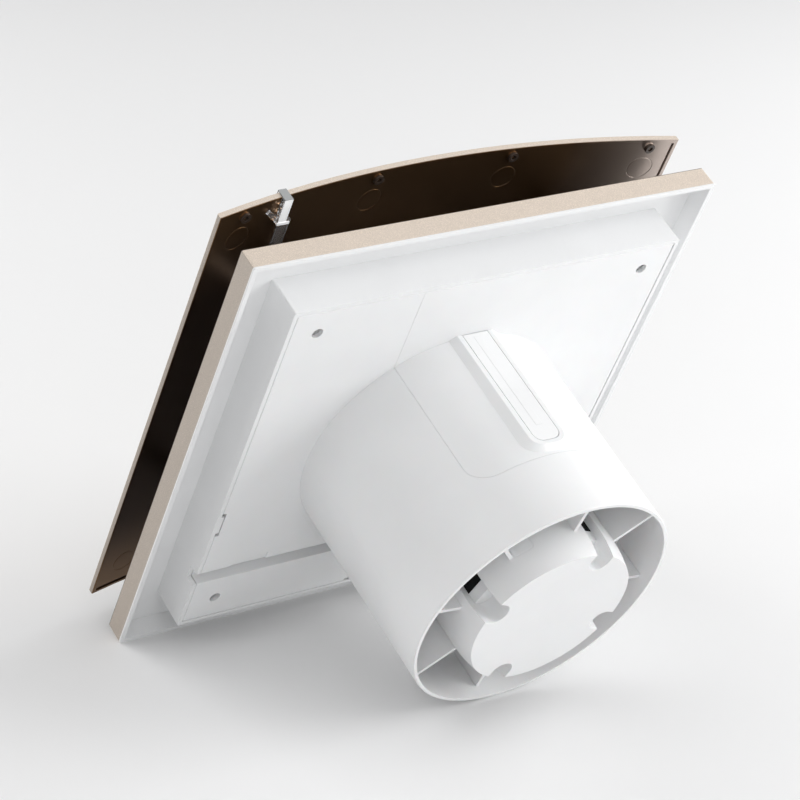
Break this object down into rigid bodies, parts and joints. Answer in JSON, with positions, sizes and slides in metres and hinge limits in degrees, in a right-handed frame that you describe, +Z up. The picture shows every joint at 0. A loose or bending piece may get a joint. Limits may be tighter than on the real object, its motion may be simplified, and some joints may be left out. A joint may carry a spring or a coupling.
{
  "type": "bathroom extractor fan",
  "caption": "Square wall-mounted axial bathroom extractor fan with a curved front cover, a side inlet slot, a backdraught shutter and a round duct spigot.",
  "frame": {"origin": "on the duct axis, in the plane where the back plate meets the wall", "axes": "+Y along the duct into the wall, -Y into the room, +Z up, +X to the right seen from the room"},
  "size_m": [0.2258, 0.1552, 0.2261],
  "materials": {
    "champagne_lacquer": "fine metallic champagne lacquer on moulded plastic",
    "white_plastic": "satin moulded white",
    "clear_plastic": "clear moulded acrylic, light frosting",
    "flap_plastic": "thin translucent white",
    "black_rubber": "soft moulded rubber",
    "steel": "ground and plated steel",
    "laminations": "stacked silicon steel sheets",
    "copper_winding": "enamelled copper wire",
    "bracket_alloy": "die cast",
    "bronze": "oil-filled sintered bronze",
    "terminal_plastic": "natural polyamide",
    "board": "solder-masked laminate",
    "led_resin": "tinted clear epoxy",
    "lead_brown": "PVC insulation"
  },
  "bodies": {
    "housing": {"frame": "champagne_lacquer", "back_plate": "white_plastic", "cable_strip": "white_plastic", "inlet_grille": "white_plastic", "shutter_frame": "white_plastic", "shutter_pin": "steel", "motor_support": "white_plastic", "rubber_blocks": "black_rubber", "stator_core": "laminations", "stator_coils": "copper_winding", "front_bracket": "bracket_alloy", "rear_bracket": "bracket_alloy", "front_bearing": "bronze", "rear_bearing": "bronze", "tie_screws": "steel", "terminal_block": "terminal_plastic", "terminal_screws": "steel", "terminal_cover": "white_plastic", "terminal_cover_screw": "steel", "cable_grommet": "black_rubber", "cable_clamp": "terminal_plastic", "clamp_screws": "steel", "lamp_board": "board", "board_screws": "steel", "lamp_led": "led_resin", "motor_leads": "lead_brown", "lamp_leads": "lead_brown"},
    "cover": {"front_cover": "champagne_lacquer", "light_guide": "clear_plastic"},
    "flap_right": {"flap_right": "flap_plastic", "flap_spring_right": "steel"},
    "flap_left": {"flap_left": "flap_plastic", "flap_spring_left": "steel"},
    "rotor": {"impeller": "white_plastic", "impeller_clip": "steel", "motor_shaft": "steel", "rotor_core": "laminations"}
  },
  "joints": [
    {"name": "cover_pull", "type": "slide", "parent": "housing", "child": "cover", "axis": [0, -1, 0], "range_m": [0, 0.02]},
    {"name": "shutter_right", "type": "hinge", "parent": "housing", "child": "flap_right", "pos_m": [0, -0.014, 0], "axis": [0, 0, 1], "range_deg": [0, 65], "stiffness_Nm_per_rad": 0.0006, "springref_deg": -17.19},
    {"name": "shutter_left", "type": "hinge", "parent": "housing", "child": "flap_left", "pos_m": [0, -0.014, 0], "axis": [0, 0, 1], "range_deg": [-65, 0], "stiffness_Nm_per_rad": 0.0006, "springref_deg": 17.19},
    {"name": "impeller_spin", "type": "hinge", "parent": "housing", "child": "rotor", "pos_m": [0, 0.05, 0], "axis": [0, 1, 0], "continuous": true}
  ],
  "couplings": [
    {"joint": "shutter_left", "follows": "shutter_right", "ratio": -1}
  ]
}
